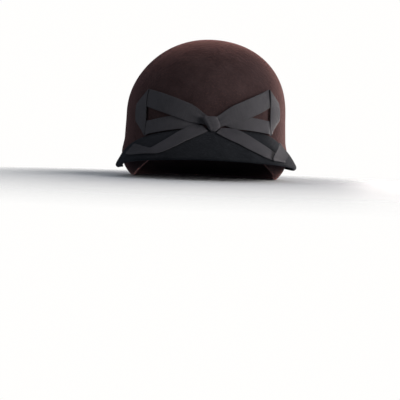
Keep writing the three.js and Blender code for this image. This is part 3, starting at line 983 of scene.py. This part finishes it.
def tail_strip(name, rows, ripple):
    """The strip of one tail, through the sections of its table, with ripples across it towards its
    end."""
    names = ("round", "share", "lift", "up_round", "up_share", "up_lift")
    last = len(rows) - 1
    section_at = smooth_columns(rows, range(len(rows)), names)

    def middle(key, across):
        around, share, lift, up_around, up_share, up_lift = section_at(key)
        low = off_peak(around, share, lift + TAIL_LIFT)
        high = off_peak(up_around, up_share, up_lift + TAIL_LIFT)
        return low + (high - low) * np.asarray(across)[..., None]

    keys = np.linspace(0, last, LENGTH_STEPS)
    line = middle(keys, np.full(LENGTH_STEPS, 0.5))
    run = run_along(line)

    def place(along, share, off):
        key = np.interp(along, run, keys)
        across = share + 0.5
        after = middle(np.minimum(key + KEY_STEP, last), across)
        before = middle(np.maximum(key - KEY_STEP, 0), across)
        beside = middle(key, across + KEY_STEP) - middle(key, across - KEY_STEP)
        normal = across_product(after - before, beside)
        waves = ripple * smooth_rise(key, *RIPPLE_ROWS) * np.sin(2 * np.pi * RIPPLES * across) ** 2
        return middle(key, across) + normal * (off - waves)[..., None]

    piece = ribbon_strip(f"bow_tail_{name}_ribbon", run[-1], place)
    finish_piece(piece, ribbon_cloth, "ribbon", f"bow_tail_{name}")
    print(piece.name, "is cut", round(run[-1], 1), "mm long")


tail_strip("left", TAIL_LEFT, RIPPLE_HEIGHT)
tail_strip("right", TAIL_RIGHT, 0)

# %% [markdown]
# ## The knot
# A short length of the same ribbon is wrapped over the middle of the bow, slanting from upper left to
# lower right. A table gives level sections of the wrapped bundle. The wrap is a nearly flat band over its
# front that turns in at the top and at the bottom, and behind it the straps bunch into a darker core, a
# little narrower than the band.

# %% Knot
KNOT_SECTIONS = (
    {"level": 51.2, "left": -5.4, "right": 5.6, "back": 2.9, "front": 4.8},
    {"level": 49.6, "left": -5.6, "right": 6.4, "back": 2.8, "front": 7.4},
    {"level": 46.6, "left": -3.8, "right": 7.8, "back": 2.9, "front": 8.4},
    {"level": 42.8, "left": -1.4, "right": 8.6, "back": 3.4, "front": 9.1},
    {"level": 40.6, "left": 0.0, "right": 6.4, "back": 5.4, "front": 9.0},
    {"level": 39.0, "left": 1.8, "right": 4.4, "back": 7.6, "front": 9.0},
)
KNOT_ROLL_POWER = 8
KNOT_ROLL = 0.35
KNOT_TURN_IN = 0.12
KNOT_TURN_DEPTH = 0.6
KNOT_CREASE = {"across": 0.36, "depth": 0.3, "width": 0.06}
KNOT_CORE_SHARE = 0.72
KNOT_CORE_EDGE = 0.06
KNOT_CORE_SIZE = 40

knot_names = ("level", "left", "right", "back", "front")
knot_columns = smooth_columns(KNOT_SECTIONS, range(len(KNOT_SECTIONS)), knot_names)


def knot_place(way, across, forward):
    """A place in the knot: a way from its top to its bottom, from side to side, and from back to front,
    standing off the crown's wall."""
    level, left, right, back, front = knot_columns(way * (len(KNOT_SECTIONS) - 1))
    spot = crown_place(angle_at(left + (right - left) * across), level)
    stand_off = back + (front - back) * forward
    return spot - np.stack([0 * stand_off, stand_off, 0 * stand_off], axis=-1)


def knot_forward(way, across):
    """How far forward the band stands: full over most of it, rolled back a little at both sides by a high
    power of the way across, and turned in at both ends as a quarter circle."""
    to_end = np.clip(1 - np.minimum(way, 1 - way) / KNOT_TURN_IN, 0, 1)
    turned_in = 1 - np.sqrt(1 - to_end**2)
    rolled = np.abs(2 * across - 1) ** KNOT_ROLL_POWER
    return (1 - KNOT_ROLL * rolled) * (1 - KNOT_TURN_DEPTH * turned_in)


def knot_core():
    """The core: a front and a back over the same grid, narrower and flatter than the band."""
    inside = np.linspace(KNOT_CORE_EDGE, 1 - KNOT_CORE_EDGE, KNOT_CORE_SIZE)
    way, across = np.meshgrid(inside, inside, indexing="ij")
    front = knot_place(way, across, KNOT_CORE_SHARE * knot_forward(way, across))
    back = knot_place(way, across, 0 * across)
    hoop = np.concatenate([front, back[:, ::-1]], axis=1)
    ends = hoop[[0, -1]].mean(axis=1, keepdims=True).repeat(hoop.shape[1], axis=1)
    grid = np.concatenate([ends[:1], hoop, ends[1:]])
    return grid_piece("bow_knot_core", grid, grid[..., [0, 2]], round_columns=True)


def knot_wrap():
    """The band: a strip from the top of the knot to its bottom, with one soft crease along it."""

    def middle(way, across):
        off_crease = (across - KNOT_CREASE["across"]) / KNOT_CREASE["width"]
        crease = KNOT_CREASE["depth"] * np.exp(-(off_crease**2))
        sunk = np.stack([0 * crease, RIBBON_THICKNESS / 2 + crease, 0 * crease], axis=-1)
        return knot_place(way, across, knot_forward(way, across)) + sunk

    ways = np.linspace(0, 1, LENGTH_STEPS)
    line = middle(ways, np.full(LENGTH_STEPS, 0.5))
    run = run_along(line)

    def place(along, share, off):
        way = np.interp(along, run, ways)
        across = share + 0.5
        after = middle(np.minimum(way + KEY_STEP, 1), across)
        before = middle(np.maximum(way - KEY_STEP, 0), across)
        inside = np.clip(across, KEY_STEP, 1 - KEY_STEP)
        beside = middle(way, inside + KEY_STEP) - middle(way, inside - KEY_STEP)
        return middle(way, across) + across_product(after - before, beside) * off[..., None]

    return ribbon_strip("bow_knot_ribbon", run[-1], place), run[-1]


knot, knot_length = knot_wrap()
finish_piece(knot, ribbon_cloth, "ribbon", "bow_knot")
core = finish_piece(knot_core(), ribbon_cloth, "ribbon")
knot_length * MM
print("the knot's wrap is", round(knot_length, 1), "mm long")

# %% [markdown]
# ## The stage
# The cap stands on a pale floor inside a large white ball. Daylight comes from the right, both from the
# front and from behind, and the rest of the light is dim and bluish, so the front of the cap lies in
# shade with a lit edge on its right. A low light keeps the back from going black. The floor and the ball
# are kept out of the bounced light, because their white would fill that shade. The stage is measured in
# metres.

# %% Floor and white ball
FLOOR_HALF = 3.0
FLOOR_FADE = (0.12, 0.32)
ROOM_RADIUS = 8.0
ROOM_STEPS = 48


def floor_finish():
    """A pale painted floor that fades into the white behind it as it gets further from the cap."""
    material, shader, place, _ = new_finish("pale_floor", {"Roughness": 0.6, "Specular IOR Level": 0.2})
    shade = place.noise(9, 3, 0.5)
    connect(shader, Base_Color=shade.ramp([(0.3, (0.93, 0.925, 0.92)), (0.7, (0.96, 0.955, 0.95))]))
    away = place.node("ShaderNodeVectorMath", {"operation": "LENGTH"}, {0: place}, "Value")
    connect(shader, Alpha=1 - away.rise(*FLOOR_FADE))
    return material


def white_finish():
    """A surface so bright that it shows as white."""
    constants = {"Base Color": (0, 0, 0, 1), "Specular IOR Level": 0, "Emission Strength": 1}
    constants["Emission Color"] = (1, 0.995, 0.985, 1)
    return new_finish("white_room", constants)[0]


def room_grid():
    """A ball round everything: rows from its bottom to its top, with a column for each direction."""
    height = np.linspace(-np.pi / 2, np.pi / 2, ROOM_STEPS)[:, None]
    turn = np.linspace(0, 2 * np.pi, ROOM_STEPS, endpoint=False)
    wide = np.cos(height)
    parts = np.broadcast_arrays(wide * np.cos(turn), wide * np.sin(turn), np.sin(height))
    return ROOM_RADIUS / MM * np.stack(parts, axis=-1)


def stage_piece(piece, material, casts_shadow):
    """Gives a piece of the stage its finish: the camera sees it, but it gives the cap no light."""
    piece.data.materials.append(material)
    piece.visible_diffuse = False
    piece.visible_glossy = False
    piece.visible_shadow = casts_shadow


floor_half = FLOOR_HALF / MM
floor_corners = [[(-floor_half, -floor_half, 0), (floor_half, -floor_half, 0)],
                 [(-floor_half, floor_half, 0), (floor_half, floor_half, 0)]]
stage_piece(grid_piece("floor", np.array(floor_corners)), floor_finish(), True)
stage_piece(grid_piece("room", room_grid(), round_columns=True), white_finish(), False)

# %% Light
ROOM_LIGHT = (0.1, 0.122, 0.154)
LIGHTS = (
    {"name": "window", "place": (0.84, -0.48, 0.24), "aim": (0, 0.02, 0.08),
     "size": 0.9, "power": 11.2, "colour": (1, 0.98, 0.97)},
    {"name": "window_behind", "place": (0.74, 0.8, 0.08), "aim": (0, 0.02, 0.06),
     "size": 0.5, "power": 12.5, "colour": (1, 0.92, 0.88)},
    {"name": "ceiling", "place": (0.2, 0.1, 1.3), "aim": (0, 0.02, 0),
     "size": 1.0, "power": 0.15, "colour": (1, 0.98, 0.95)},
    {"name": "left_side", "place": (-0.85, -0.4, 0.3), "aim": (0, 0, 0.06),
     "size": 0.8, "power": 1.7, "colour": (1, 0.97, 0.96)},
    {"name": "back_fill", "place": (0.0, 1.7, 0.1), "aim": (0, 0.1, 0.06),
     "size": 0.2, "power": 15, "colour": (1, 0.97, 0.95)},
)


def area_light(name, place, aim, size, power, colour):
    """A square soft light at a place, pointing at a target, in metres and watts."""
    data = bpy.data.lights.new(name, "AREA")
    data.shape = "SQUARE"
    data.size = size
    data.energy = power
    data.color = colour
    light = bpy.data.objects.new(name, data)
    light.location = place
    light.rotation_euler = (Vector(aim) - Vector(place)).to_track_quat("-Z", "Y").to_euler()
    bpy.context.scene.collection.objects.link(light)


def room_light(colour):
    """Even light from all round."""
    world = bpy.data.worlds.new("room")
    world.use_nodes = True
    world.node_tree.nodes["Background"].inputs["Color"].default_value = (*colour, 1)
    bpy.context.scene.world = world


room_light(ROOM_LIGHT)
for row in LIGHTS:
    area_light(**row)
bpy.context.scene.view_settings.view_transform = "Standard"
